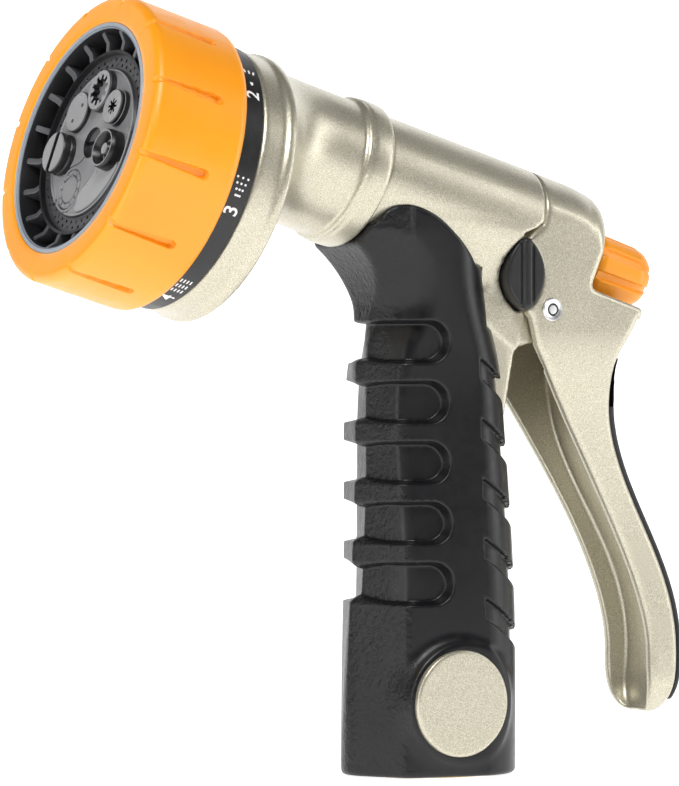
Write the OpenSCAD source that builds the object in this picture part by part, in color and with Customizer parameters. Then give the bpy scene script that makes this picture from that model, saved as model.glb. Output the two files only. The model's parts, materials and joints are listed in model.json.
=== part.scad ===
// Garden hose spray nozzle: pistol grip, rear trigger, flow knob and a turning pattern head.
// Origin: centre of the hose inlet's mouth. +Z up the grip, +X the way it sprays, +Y its left side.
// "s" is a distance along the barrel axis, forward of the grip axis. "drop" is a distance below it.

/* [Barrel] */
// Upward tilt of the barrel
barrel_tilt = 16.5; // [10:0.5:22]
// Height above the inlet mouth at which the barrel axis meets the grip axis
barrel_height = 117.2; // [100:0.2:145]
// Outer radius of the barrel
barrel_r = 14; // [12:0.1:17]
// Length of the barrel behind the grip axis
barrel_rear = 20; // [18:0.5:24]
// Length of the barrel in front of the grip axis
barrel_front = 19; // [17:0.5:25]
// Radius of the valve chamber
chamber_r = 6.6; // [6:0.1:8]
// Distance of the valve seat in front of the grip axis
seat_s = 8; // [6:0.5:10]
// Radius of the valve seat's orifice
seat_r = 4; // [3:0.1:5]
// Thickness of the valve seat
seat_t = 3; // [2:0.1:4]

/* [Grip] */
// Radius of the socket that holds the inlet insert
socket_r = 14.6; // [14.2:0.1:18]
// Wall of the casting around that socket
socket_wall = 1.1; // [1:0.1:3]
// Depth of that socket
socket_depth = 16; // [13:0.5:20]
// Radius of the casting inside the upper grip
core_r = 11; // [9:0.1:12.5]
// Radius of the water passage in the grip
passage_r = 6.4; // [5:0.1:7]
// Radius of the hose thread in the insert
hose_thread_r = 13.6; // [12.4:0.1:13.8]
// Thickness of the hose washer
washer_t = 2.5; // [2:0.1:3.5]
// Side thickness of the grip sleeve over the socket
sleeve_side = 0.9; // [0.8:0.1:3]
// Height of the plain block at the foot of the grip
block_h = 36; // [30:1:45]
// Half width of the upper grip
grip_y = 14.6; // [13:0.1:17]
// Number of finger pockets
pockets = 5; // [3:1:6]
// Radius of each finger pocket
pocket_r = 4.6; // [3:0.1:5.5]
// Distance between finger pockets
pocket_pitch = 12.2; // [11:0.1:14]
// Radius of the round badge on each side of the foot
badge_r = 10.9; // [8:0.1:12]

/* [Trigger] */
// Distance of the pivot pin behind the grip axis, along the barrel
pin_back = 27.4; // [25:0.1:32]
// Distance of the pivot pin below the barrel axis
pin_drop = 14.5; // [12:0.1:18]
// Radius of the pivot pin
pin_r = 2; // [1.5:0.1:2.6]
// Radius of the pin's heads
pin_head_r = 2.4; // [2:0.1:3.2]
// Wall of the trigger
lever_wall = 2.2; // [1.6:0.1:2.6]
// Half width of the trigger's handle
handle_y = 9; // [8:0.1:11]
// Swing of the trigger
pull = 20; // [14:1:20]
// Thickness of the rubber pad on the handle's back
pad_t = 1.8; // [1.2:0.1:2.4]
// Gap between moving faces that don't touch
gap = 0.35; // [0.3:0.05:0.5]
// Radial clearance of a running fit
fit = 0.05; // [0.02:0.01:0.1]

/* [Trigger lock] */
// Radius of the two arcs that bound the lock button
lock_arc_r = 8.4; // [8:0.1:9]
// Half height of the lock button
lock_half_h = 7.5; // [6.5:0.1:7.8]
// Distance of the lock button in front of the pivot pin, along the barrel
lock_ahead = 8.7; // [8:0.1:10]
// Distance of the lock button above the pivot pin, square to the barrel
lock_above = 5.1; // [4.5:0.1:6]
// Travel of the lock button
lock_travel = 3; // [2:0.5:3.5]
// Radius of the bolt between the two buttons
lock_bolt_r = 1.9; // [1.5:0.1:2]

/* [Valve and flow knob] */
// Radius of the valve stem
stem_r = 2.2; // [1.6:0.1:2.6]
// Radius of the valve plunger
plunger_r = 5.4; // [4.8:0.1:5.8]
// Radius of the gland nut's thread
gland_r = 7; // [6.5:0.1:8.5]
// Travel allowed for the valve stem
stem_travel = 5; // [4:0.1:6]
// Radius of the flow knob
knob_r = 6.6; // [6:0.1:8]
// Length of the flow knob
knob_len = 15; // [12:0.5:18]
// Thickness of the thrust washer
thrust_t = 1.8; // [1.6:0.1:2.4]

/* [Head] */
// Distance of the head's axis below the barrel axis
head_drop = 12; // [9:0.1:14]
// Outer radius of the selector ring
ring_r = 29.6; // [26:0.1:36]
// Length of the selector ring
ring_len = 21.1; // [18:0.1:27]
// Distance of the neck flange's face in front of the grip axis
flange_s = 56; // [52:0.5:64]
// Thickness of the neck flange
flange_t = 7; // [6:0.5:9]
// Width of the index band
band_w = 4.5; // [3.5:0.1:6]
// Radius of the circle of spray patterns
pitch_r = 10.5; // [9.5:0.1:12]
// Number of spray patterns
patterns = 7; // [5:1:7]
// Radius of the pattern plate
plate_r = 18.5; // [17:0.1:20]
// Radius of the centre screw
screw_r = 2.5; // [2:0.1:3]
// Number of grip grooves round the ring
grooves = 12; // [8:1:16]
// Number of ribs round the face
ribs = 20; // [12:1:24]

/* [Hidden] */
$fn = 96;

champagne = "#cfc8b3";
orange = "#f8a01e";
black = "#1d1d1f";
grey = "#8d8f93";
steel = "#b9bcc0";
brass = "#c8a250";

// ---- derived sizes ----
cos_t = cos(barrel_tilt);
sin_t = sin(barrel_tilt);
pin_x = -pin_back * cos_t + pin_drop * sin_t;
pin_z = barrel_height - pin_back * sin_t - pin_drop * cos_t;
cheek_y = barrel_r - 3.6;                    // half width of the casting between the trigger's ears
ear_in = cheek_y + gap;                      // inner face of each ear
ear_y = ear_in + lever_wall;                 // outer face of each ear
boss_r = gland_r + 2.5;                      // rear boss round the gland
boss_len = 10;
gland_head_t = 2;
saddle_s = -barrel_rear - boss_len - gland_head_t - 1.4;   // front of the trigger's saddle
saddle_t = 2.5;
hood_s = -barrel_rear - gap;                 // front of the hood
crest_r = 4;                                 // rocker that bears on the thrust washer
crest_proud = 2.4;
crest_s = saddle_s - saddle_t - crest_proud;
thrust_gap = 0.15;
thrust_s = crest_s - thrust_gap;             // front of the thrust washer
knob_s = thrust_s - thrust_t;                // front of the flow knob
cheek_tail_s = saddle_s - saddle_t - 2;      // rear edge of the hood's sides
ledge_drop = knob_r + 0.6;                   // the trigger's ledge below the knob
ledge_s = cheek_tail_s - 10.8;
lock_s = -pin_back + lock_ahead;
lock_drop = pin_drop - lock_above;
lock_x = lock_s * cos_t + lock_drop * sin_t;
lock_z = barrel_height + lock_s * sin_t - lock_drop * cos_t;
lock_arc_x = sqrt(pow(lock_arc_r, 2) - pow(lock_half_h, 2));
lock_face = barrel_r;                        // proud face of the near button
lock_t = 3.8;
neck_r = barrel_r + 0.4;
bead_r = barrel_r + 1.4;
bead_w = 6.5;
spigot_r = 10;
spigot_len = barrel_front - seat_s - seat_t;
socket_out = socket_r + socket_wall;
foot_y = socket_out + sleeve_side;           // half width of the foot of the grip
washer_z = socket_depth - washer_t;
badge_x = 2.3;
badge_z = 15.2;
badge_sink = sleeve_side - 0.05;             // how deep the badge sits in the sleeve
badge_rim = badge_sink + 0.1;
pocket_x = 20.2;                             // centre of the finger pockets
flange_r = ring_r - 2.2;
funnel_s = 38;                               // where the neck starts to flare
turret_s = flange_s + 0.3;                   // back face of the turning head
ring_s = turret_s + band_w;                  // back edge of the selector ring
face_s = ring_s + ring_len;                  // front face of the selector ring
shell_r = ring_r - 3.7;                      // the parts inside the ring
trim_r = ring_r - 5.75;                      // outer radius of the trim ring
trim_w = 1.15;
trim_t = 3;
plate_s = face_s - 3.5;                      // front face of the pattern plate
plate_t = 3;
back_t = 4.7;                                // thickness of the turret's back plate
port_r = 3;
seal_r = 4.3;
seal_pocket = 6;
detent_r = 1.5;
detent_pitch = pitch_r + 8;
detent_proud = 0.35;
step = 360 / patterns;
housing_len = face_s - trim_t - turret_s - back_t;
insert_r = 3.9;
screw_tip_s = flange_s - 9.5;
screw_head_s = plate_s - plate_t + 1.4;      // under the screw's head
seal_lip = 1.6;                              // length of the plunger's rubber seal
stem_front = seat_s - seal_lip;
plunger_s = seat_s - 4.4;
stem_tail = knob_s - knob_len + 2.5;
knob_bore_len = 8;
spring_fn = 14;

// ---- helpers ----
function on_side(s, drop) = [s * cos_t + drop * sin_t, barrel_height + s * sin_t - drop * cos_t];
function from_pin(x, z) = [pin_x + x, pin_z + z];
function bezier(a, b, c, d, n) = [for (i = [0 : n])
    let (t = i / n, u = 1 - t) u * u * u * a + 3 * u * u * t * b + 3 * u * t * t * c + t * t * t * d];

module on_barrel(s = 0, drop = 0)
    translate([0, 0, barrel_height]) rotate([0, 90 - barrel_tilt, 0]) translate([drop, 0, s]) children();
module on_head(s = 0) on_barrel(s, head_drop) children();
// Places a child at a pattern's station: angle 0 is at the top, positive towards the left side.
module station(angle, radius = pitch_r)
    translate([-radius * cos(angle), radius * sin(angle), 0]) rotate([0, 0, -angle]) children();
module across(r, h) rotate([90, 0, 0]) cylinder(r = r, h = h, center = true);
module tube(r, bore, h) difference() {
    cylinder(r = r, h = h);
    translate([0, 0, -1]) cylinder(r = bore, h = h + 2);
}
// A plate standing in the X-Z plane, from an outline of [x, z] points.
module upright(points, half) rotate([90, 0, 0]) linear_extrude(height = 2 * half, center = true) polygon(points);
module torus(r, wire) rotate_extrude() translate([r, 0]) circle(r = wire, $fn = 32);

// A coil spring along z, swept as one closed mesh.
module coil(r, wire, length, turns, sides = 6) {
    count = turns * spring_fn;
    lead = length - 2 * wire;
    rings = [for (i = [0 : count]) let (a = 360 * i / spring_fn, z = wire + lead * i / count)
        for (k = [0 : sides - 1]) let (b = 360 * k / sides, d = r + wire * cos(b))
            [d * cos(a), d * sin(a), z + wire * sin(b)]];
    walls = [for (i = [0 : count - 1], k = [0 : sides - 1]) let (n = (k + 1) % sides)
        [i * sides + k, i * sides + n, (i + 1) * sides + n, (i + 1) * sides + k]];
    ends = [[for (k = [sides - 1 : -1 : 0]) k], [for (k = [0 : sides - 1]) count * sides + k]];
    polyhedron(points = rings, faces = concat(walls, ends));
}

// The lens outline of the lock button, along y.
module lens(grow, h) intersection() {
    translate([lock_x - lock_arc_x, 0, lock_z]) across(lock_arc_r + grow, h);
    translate([lock_x + lock_arc_x, 0, lock_z]) across(lock_arc_r + grow, h);
}

// ---- body ----
module grip_core() {
    cylinder(r = socket_out, h = socket_depth + 3);
    translate([0, 0, socket_depth + 3]) cylinder(r1 = socket_out, r2 = core_r, h = 8);
    cylinder(r = core_r, h = barrel_height - barrel_r * 0.6);
}
throat = [on_side(barrel_front - 8, barrel_r - 5), from_pin(26, -14), from_pin(10, -22), from_pin(7.5, -9),
          from_pin(4, 4), on_side(-barrel_rear + 2, 4)];
module throat_web() upright(throat, cheek_y);
module pin_lug() {
    translate([pin_x, 0, pin_z]) across(6, 2 * cheek_y);
    upright([on_side(-barrel_rear - boss_len, 6), on_side(-barrel_rear - boss_len, 9),
             from_pin(-6, 0), from_pin(-4, -4.4), from_pin(0, -6), from_pin(7.5, -8), from_pin(18, 0),
             on_side(-barrel_rear + 4, 4)], cheek_y);
}
// Room beside the casting's cheeks for the trigger's ears.
module ear_room() for (side = [-1, 1])
    translate([0, side * (cheek_y + barrel_r / 2), 0])
        upright([on_side(-barrel_rear - 1, -3.4), on_side(hood_s + 1.4 + gap, -0.2 - gap),
                 [lock_x + 0.4, lock_z + lock_half_h + 0.9], from_pin(9, 6), from_pin(9, -30),
                 from_pin(-16, -30), on_side(-barrel_rear - 30, -3.4)], barrel_r / 2);

module body_outer() {
    difference() {
        union() {
            on_barrel(-barrel_rear) cylinder(r = barrel_r, h = barrel_rear + barrel_front);
            throat_web();
        }
        ear_room();
    }
    on_barrel(-barrel_rear - boss_len) cylinder(r = boss_r, h = boss_len + 2);
    pin_lug();
    grip_core();
}
module body_casting() color(champagne) difference() {
    body_outer();
    on_barrel(-barrel_rear + 0.001) cylinder(r = chamber_r, h = barrel_rear + seat_s);
    on_barrel(-barrel_rear - boss_len - 1) cylinder(r = gland_r, h = boss_len + 1.001);
    on_barrel(seat_s - 1) cylinder(r = seat_r, h = seat_t + 2);
    on_barrel(seat_s + seat_t) cylinder(r = spigot_r, h = spigot_len + 1);
    translate([0, 0, -1]) cylinder(r = socket_r, h = socket_depth + 1);
    cylinder(r = passage_r, h = barrel_height - 1);
    translate([pin_x, 0, pin_z]) across(pin_r, 2 * barrel_r);
    translate([lock_x, 0, lock_z]) across(lock_bolt_r + fit, 3 * barrel_r);
    for (side = [-1, 1]) translate([0, side * (lock_face - lock_travel - lock_t + barrel_r - gap / 2), 0])
        lens(gap, 2 * barrel_r);
}

module front_neck() color(champagne) difference() {
    union() {
        on_barrel(seat_s + seat_t + 1.2) cylinder(r = spigot_r, h = spigot_len - 1.2);
        on_barrel(barrel_front) rotate_extrude()
            polygon([[0, 0], [barrel_r, 0], [bead_r - 0.4, 0.8], [bead_r, 1.8], [bead_r, bead_w - 1.8],
                     [bead_r - 0.4, bead_w - 0.8], [neck_r, bead_w], [0, bead_w]]);
        on_barrel(barrel_front + bead_w - 0.5) cylinder(r = neck_r, h = funnel_s + 1 - barrel_front - bead_w);
        hull() {
            on_barrel(funnel_s - 1) cylinder(r = neck_r - 0.5, h = 1, $fn = 48);
            on_head(flange_s - flange_t - 1.5) cylinder(r = flange_r - 2, h = 2, $fn = 48);
        }
        on_head(flange_s - flange_t) cylinder(r = flange_r, h = flange_t);
    }
    on_barrel(0) cylinder(r = chamber_r - 0.6, h = flange_s - flange_t - 5);
    on_barrel(flange_s - flange_t - 9, head_drop - pitch_r) cylinder(r = port_r + 0.2, h = flange_t + 10);
    on_head(flange_s - seal_pocket) station(0) cylinder(r = seal_r + fit, h = seal_pocket + 1);
    on_head(flange_s - 10) cylinder(r = screw_r - 0.6, h = 11);
    on_head(flange_s - 5) station(180, detent_pitch) cylinder(r = detent_r + fit, h = 6);
}
module neck_oring() color(black) on_barrel(seat_s + seat_t + 0.6) torus(spigot_r - 1.2, 0.6);

// ---- grip ----
module foot_section(inset, h) hull() for (side = [-1, 1]) {
    translate([-4.2, side * (foot_y - 12), 0]) cylinder(r = 12 - inset, h = h, $fn = 40);
    translate([11.4, side * (foot_y - 4.6), 0]) cylinder(r = 2 - inset, h = h, $fn = 32);
    translate([18, side * 0.8, 0]) cylinder(r = 2 - inset, h = h, $fn = 32);
}
module upper_section(z, half, front, rear) translate([0, 0, z]) {
    for (side = [-1, 1]) {
        translate([-rear + 9, side * (half - 9), 0]) cylinder(r = 9, h = 1, $fn = 32);
        translate([front - 7.5, side * (half - 4.6), 0]) cylinder(r = 2.5, h = 1, $fn = 32);
        translate([front - 2, side * 0.8, 0]) cylinder(r = 2, h = 1, $fn = 32);
    }
}
module sleeve_outer() {
    translate([0, 0, 2]) foot_section(0, block_h - 2);
    foot_section(1.2, 3);
    hull() {
        upper_section(block_h - 1.5, foot_y - 0.3, 19.3, 16);
        upper_section(pin_z - 12, grip_y - 0.4, 17.2, 12.8);
    }
    hull() {
        upper_section(pin_z - 13, grip_y - 0.4, 17.2, 12.8);
        translate([0, 0, pin_z - 4]) upper_section(0, grip_y - 0.4, 17.6, 8.5);
    }
    hull() {
        translate([0, 0, pin_z - 4]) upper_section(0, grip_y - 0.4, 17.6, 8.5);
        on_barrel(barrel_front - 6, 4) cylinder(r = grip_y - 3.2, h = 5.6, $fn = 40);
        on_barrel(2, 4.2) cylinder(r = grip_y - 0.2, h = 4, $fn = 40);
    }
}
module grip_sleeve() color(black) difference() {
    sleeve_outer();
    body_outer();
    ear_room();
    translate([0, 0, -1]) cylinder(r = socket_out, h = 3);
    for (i = [0 : pockets - 1]) translate([pocket_x, 0, block_h + 4 + i * pocket_pitch])
        across(pocket_r, 4 * grip_y);
    for (side = [-1, 1]) translate([badge_x, side * (foot_y - badge_sink + 2), badge_z])
        across(badge_r + 0.15, 4);
}
module badge(side) color(champagne)
    translate([badge_x, side * (foot_y - badge_sink), badge_z]) rotate([-90 * side, 0, 0]) rotate_extrude()
        polygon(concat([[0, 0], [badge_r, 0], [badge_r, badge_rim]],
        [for (a = [10 : 10 : 90]) [badge_r * cos(a), badge_rim + 0.7 * sin(a)]]));
module badge_left() badge(1);
module badge_right() badge(-1);

module inlet_insert() color(brass) tube(socket_r, hose_thread_r, washer_z);
module hose_washer() color(black) translate([0, 0, washer_z]) tube(socket_r - 0.1, passage_r + 1, washer_t - 0.1);
module inlet_filter() color(steel) translate([0, 0, washer_z + 0.8]) difference() {
    cylinder(r = passage_r + 1, h = 0.8);
    for (ring = [0 : 2], k = [0 : max(1, ring * 6) - 1]) rotate([0, 0, 60 * k / max(1, ring)])
        translate([ring * 2.4, 0, -1]) cylinder(r = 0.8, h = 3, $fn = 24);
}

// ---- trigger ----
tip = from_pin(-31.8, -85.3);
function handle_back(forward) = concat(
    bezier(from_pin(-24 + forward, -2), from_pin(-21 + forward, -8), from_pin(-18 + forward, -9),
           from_pin(-18 + forward, -16), 6),
    bezier(from_pin(-18 + forward, -17), from_pin(-18 + forward, -36), from_pin(-37.6 + forward, -50),
           from_pin(-37.6 + forward, -71.7), 14),
    bezier(from_pin(-37.6 + forward, -72.5), from_pin(-37.6 + forward, -79), from_pin(-36 + forward, -85.3),
           tip + [forward * 0.4, 0], 6));
function handle_front() = concat(
    bezier(tip + [0.6, 0.05], from_pin(-29, -85), from_pin(-28, -80), from_pin(-28, -73.5), 5),
    bezier(from_pin(-28, -72.5), from_pin(-28, -55), from_pin(-8, -28), from_pin(3.4, -7.5), 14));
lever_side = concat(
    [on_side(hood_s, -barrel_r), on_side(saddle_s + 2, -barrel_r + 0.5)],
    bezier(on_side(saddle_s, -barrel_r + 0.9), on_side(cheek_tail_s + 1, -barrel_r + 2.5),
           on_side(cheek_tail_s, -barrel_r + 5), on_side(cheek_tail_s, -barrel_r + 8), 6),
    [on_side(cheek_tail_s, ledge_drop), on_side(ledge_s, ledge_drop + 0.3), from_pin(-24.6, -0.6)],
    handle_back(pad_t), handle_front(),
    [from_pin(4.8, -2), [lock_x - 1.2, lock_z - lock_half_h - 0.6], [lock_x - 1, lock_z + lock_half_h],
     on_side(hood_s + 1.4, -0.2), on_side(hood_s, -2)]);
lever_front = [[ear_y, barrel_height + 20], [ear_y, pin_z - 4], [handle_y + 1.4, pin_z - 24], [handle_y, pin_z - 40],
               [handle_y, pin_z - 78], [handle_y - 1.2, pin_z - 84], [handle_y - 3.5, pin_z - 90]];
// Everything the trigger may fill: its side outline, its width from the front, and the barrel's round.
module lever_blank(inset) intersection() {
    upright(lever_side, 2 * barrel_r);
    translate([-100, 0, 0]) rotate([90, 0, 90]) linear_extrude(height = 200)
        polygon(concat([for (p = lever_front) [p[0] - inset, p[1]]],
                       [for (i = [len(lever_front) - 1 : -1 : 0]) [inset - lever_front[i][0], lever_front[i][1]]]));
    union() {
        on_barrel(0) rotate_extrude() polygon([[0, 0], [barrel_r - inset, 0], [barrel_r - inset, saddle_s + 6],
            [barrel_r - inset - 0.7, saddle_s + 1], [barrel_r - inset - 2.2, saddle_s - 3],
            [barrel_r - inset - 3.6, cheek_tail_s], [0, cheek_tail_s]]);
        upright([on_side(0, 2), on_side(0, 90), on_side(-130, 90), on_side(-130, 2)], 2 * barrel_r);
    }
}
handle_hollow = concat([from_pin(-24 + lever_wall + 6, -1)], handle_back(pad_t + lever_wall),
    [from_pin(-20, -84), from_pin(-10, -60), from_pin(14, -14), from_pin(14, -1)]);
module trigger_lever() color(champagne) difference() {
    union() {
        difference() {
            lever_blank(0);
            // hollow of the handle, open at the front
            intersection() {
                upright(handle_hollow, 2 * barrel_r);
                translate([-100, 0, 0]) rotate([90, 0, 90]) linear_extrude(height = 200) polygon(concat(
                    [for (p = lever_front) [p[0] - lever_wall, p[1] + (p[1] < pin_z - 80 ? 2.5 : 0)]],
                    [for (i = [len(lever_front) - 1 : -1 : 0]) let (p = lever_front[i])
                        [lever_wall - p[0], p[1] + (p[1] < pin_z - 80 ? 2.5 : 0)]]));
            }
            // hollow of the hood, in front of the saddle
            intersection() {
                on_barrel(saddle_s) translate([-barrel_r - 1, -ear_in, 0])
                    cube([barrel_r + pin_drop + 12, 2 * ear_in, 60]);
                union() {
                    on_barrel(saddle_s) cylinder(r = barrel_r - lever_wall, h = 60);
                    on_barrel(saddle_s) translate([0, -barrel_r, 0]) cube([60, 2 * barrel_r, 60]);
                }
            }
            // room for the flow knob behind the saddle
            on_barrel(saddle_s - saddle_t - 40) translate([-2 * barrel_r, -knob_r - 1, 0])
                cube([2 * barrel_r + ledge_drop, 2 * knob_r + 2, 40]);
        }
        // rocker that bears on the thrust washer
        on_barrel(crest_s + crest_r) intersection() {
            across(crest_r, 2 * knob_r);
            translate([-crest_r, -knob_r, -crest_r]) cube([2 * crest_r, 2 * knob_r, crest_r + 0.5]);
        }
    }
    // slot that the stem swings in
    on_barrel(crest_s - 1) {
        translate([-7.4, -stem_r - 0.5, 0]) cube([7.4, 2 * stem_r + 1, 12]);
        cylinder(r = stem_r + 0.5, h = 12);
        translate([-7.4, 0, 0]) cylinder(r = stem_r + 0.5, h = 12);
    }
    translate([pin_x, 0, pin_z]) across(pin_r + fit, 4 * barrel_r);
    // room for the lock button, at rest and as the trigger swings past it
    for (swing = [0 : pull / 4 : pull]) translate([pin_x, 0, pin_z]) rotate([0, swing, 0])
        translate([-pin_x, 0, -pin_z]) lens(gap, 4 * barrel_r);
}
pad_outline = concat(
    [for (p = handle_back(0)) if (p[1] < pin_z - 9 && p[1] > pin_z - 83) p],
    [for (i = [len(handle_back(pad_t)) - 1 : -1 : 0]) let (p = handle_back(pad_t)[i])
        if (p[1] < pin_z - 9 && p[1] > pin_z - 83) p]);
module lever_pad() color(black) upright(pad_outline, handle_y - 0.8);

module pivot_pin() color(steel) translate([pin_x, 0, pin_z]) {
    across(pin_r, 2 * ear_y + 0.1);
    translate([0, ear_y + 0.3, 0]) across(pin_head_r, 0.5);
}
module pin_clip() color(steel) translate([pin_x, -ear_y - 0.3, pin_z]) across(pin_head_r, 0.5);

// ---- trigger lock ----
module lock_head(face) translate([0, face - lock_t / 2, 0]) lens(0, lock_t);
module lock_button() color(black) difference() {
    union() {
        lock_head(lock_face);
        translate([lock_x - 0.2, lock_face, lock_z]) cube([2.4, 1.6, 2 * lock_half_h - 1], center = true);
    }
    translate([lock_x, 0, lock_z]) across(lock_bolt_r, 2 * (lock_face - 1));
}
module lock_bolt() color(steel) translate([lock_x, (lock_t - lock_travel) / 2 + 0.5, lock_z])
    across(lock_bolt_r, 2 * lock_face - lock_travel - lock_t);
module lock_button_far() color(black) difference() {
    mirror([0, 1, 0]) lock_head(lock_face - lock_travel);
    lock_bolt();
}

// ---- valve ----
module valve_stem() color(steel) on_barrel(stem_tail) cylinder(r = stem_r, h = stem_front - stem_tail);
module valve_plunger() color(brass) on_barrel(plunger_s) difference() {
    cylinder(r = plunger_r, h = stem_front - plunger_s);
    translate([0, 0, -1]) cylinder(r = stem_r, h = 6);
}
module plunger_seal() color(black) on_barrel(stem_front) cylinder(r = plunger_r - 0.2, h = seat_s - 0.02 - stem_front);
module return_spring() color(steel) on_barrel(-barrel_rear) coil(stem_r + 2, 0.5, plunger_s + barrel_rear, 8);
module packing_gland() color(brass) on_barrel(-barrel_rear - boss_len - gland_head_t) difference() {
    union() {
        cylinder(r = gland_r + 1.2, h = gland_head_t, $fn = 6);
        translate([0, 0, gland_head_t]) cylinder(r = gland_r, h = boss_len);
    }
    translate([0, 0, -1]) cylinder(r = stem_r + fit, h = boss_len + 5);
    translate([0, 0, gland_head_t + 5]) cylinder(r = stem_r + 1.5, h = 1.6);
}
module gland_oring() color(black) on_barrel(-barrel_rear - boss_len + 5.8) torus(stem_r + 0.75, 0.7);
module thrust_washer() color(steel) on_barrel(knob_s) tube(stem_r + 1.7, stem_r + fit, thrust_t);
module knob_insert() color(brass) on_barrel(knob_s - knob_bore_len) tube(stem_r + 1.6, stem_r + fit, knob_bore_len);
module flow_knob() color(orange) on_barrel(knob_s - knob_len) difference() {
    rotate_extrude() polygon(concat([[0, 0]],
        [for (a = [10 : 20 : 90]) [knob_r - 3.4 + 3.4 * sin(a), 3.4 - 3.4 * cos(a)]],
        [[knob_r, knob_len - 1.5], [knob_r - 1.5, knob_len], [0, knob_len]]));
    translate([0, 0, knob_len - knob_bore_len]) cylinder(r = stem_r + 1.6, h = knob_bore_len + 1);
    translate([0, 0, 2]) cylinder(r = stem_r + fit, h = knob_len);
    for (k = [0 : 7]) rotate([0, 0, 45 * k]) translate([knob_r + 1.1, 0, -1]) cylinder(r = 1.5, h = knob_len + 2);
}

// ---- head ----
module turret_back() color(black) on_head(turret_s) difference() {
    cylinder(r = shell_r, h = back_t);
    translate([0, 0, -1]) cylinder(r = screw_r + fit, h = back_t + 2);
    for (i = [0 : patterns - 1]) station(i * step) translate([0, 0, -1]) cylinder(r = port_r, h = back_t + 2);
    translate([0, 0, -1]) tube(detent_pitch + 0.9, detent_pitch - 0.9, 1 + detent_proud + 0.1);
    for (i = [0 : patterns - 1]) station(180 + i * step, detent_pitch) sphere(r = detent_r, $fn = 32);
}
module index_band() color(black) on_head(turret_s) tube(flange_r + 0.2, shell_r, band_w - 0.05);
module selector_ring() color(orange) on_head(ring_s) difference() {
    rotate_extrude() polygon([[shell_r, 0], [ring_r - 1, 0], [ring_r, 1.2], [ring_r, ring_len - 2.4],
        [ring_r - 0.25, ring_len - 1], [ring_r - 0.9, ring_len - 0.2], [ring_r - 1.6, ring_len],
        [trim_r, ring_len], [trim_r, ring_len - trim_t], [shell_r, ring_len - trim_t]]);
    for (i = [0 : grooves - 1]) rotate([0, 0, (i + 0.5) * 360 / grooves]) {
        translate([ring_r + 0.1, 0, 6]) cylinder(r = 1.1, h = ring_len);
        translate([ring_r + 0.1, 0, 6]) sphere(r = 1.1, $fn = 32);
    }
}
module pattern_bores() for (i = [0 : patterns - 1]) station(i * step)
    translate([0, 0, -1]) cylinder(r = port_r, h = 60);
module head_housing() color(black) on_head(turret_s + back_t) difference() {
    union() {
        difference() {
            cylinder(r = shell_r, h = housing_len);
            translate([0, 0, housing_len - 6]) tube(trim_r - trim_w, plate_r + 0.6, 10);
        }
        for (i = [0 : ribs - 1]) rotate([0, 0, 360 * (i + 0.5) / ribs]) translate([0, 0.45, housing_len - 6.5])
            rotate([90, 0, 0]) linear_extrude(height = 0.9) polygon([[plate_r + 0.4, 0], [trim_r - trim_w + 0.2, 0],
                [trim_r - trim_w + 0.2, 6.5], [plate_r + 2.6, 6.1], [plate_r + 0.4, 4.4]]);
    }
    translate([0, 0, housing_len - plate_t + trim_t - 3.5]) cylinder(r = plate_r, h = 30);
    translate([0, 0, -1]) cylinder(r = screw_r + fit, h = 60);
    pattern_bores();
}
module trim_ring() color(grey) on_head(face_s - trim_t) tube(trim_r, trim_r - trim_w, trim_t + 0.3);
module pattern_plate() color(grey) on_head(plate_s - plate_t) difference() {
    cylinder(r = plate_r, h = plate_t);
    translate([0, 0, 1]) cylinder(r = screw_r + 0.8, h = 10);
    translate([0, 0, -1]) cylinder(r = screw_r + fit, h = 10);
    for (i = [-2 : patterns - 5]) station(i * step) translate([0, 0, -1]) cylinder(r = insert_r, h = 10);
    for (i = [0 : 47]) rotate([0, 0, i * 7.5]) translate([plate_r - 1.6, 0, -1])
        cylinder(r = 0.22, h = 10, $fn = 16);
}
// A nozzle insert: a round plug through the plate that stands proud by a height of its own.
module insert(turn, head_r, proud) on_head(plate_s - plate_t) station(turn * step) difference() {
    union() {
        cylinder(r = insert_r, h = plate_t);
        translate([0, 0, plate_t]) cylinder(r = head_r, h = proud);
    }
    children();
}
module star_hole(points, r_out, r_in) translate([0, 0, -1]) linear_extrude(height = 20)
    polygon([for (i = [0 : 2 * points - 1]) let (r = i % 2 == 0 ? r_out : r_in, a = 180 * i / points)
        [r * cos(a), r * sin(a)]]);
module jet_insert() color(grey) insert(0, 4.1, 1.5) star_hole(10, 3, 2.3);
module cone_insert() color(grey) insert(1, 3.5, 1.8) star_hole(8, 1.5, 0.8);
module mist_insert() color(grey) insert(2, 3.9, 2.8) {
    translate([0, 0, plate_t + 0.6]) tube(3.1, 1.2, 4);
    translate([0, 0, -1]) cylinder(r = 0.5, h = 20);
}
module flat_insert() color(grey) insert(-2, 4.2, 2.9) translate([-0.45, -6, plate_t + 0.9]) cube([0.9, 12, 9]);
module angle_insert() color(grey) insert(-1, 4.1, 0.9)
    for (side = [-1, 1]) translate([0, side * 1.8, -1]) cylinder(r = 0.4, h = 20, $fn = 24);

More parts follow.
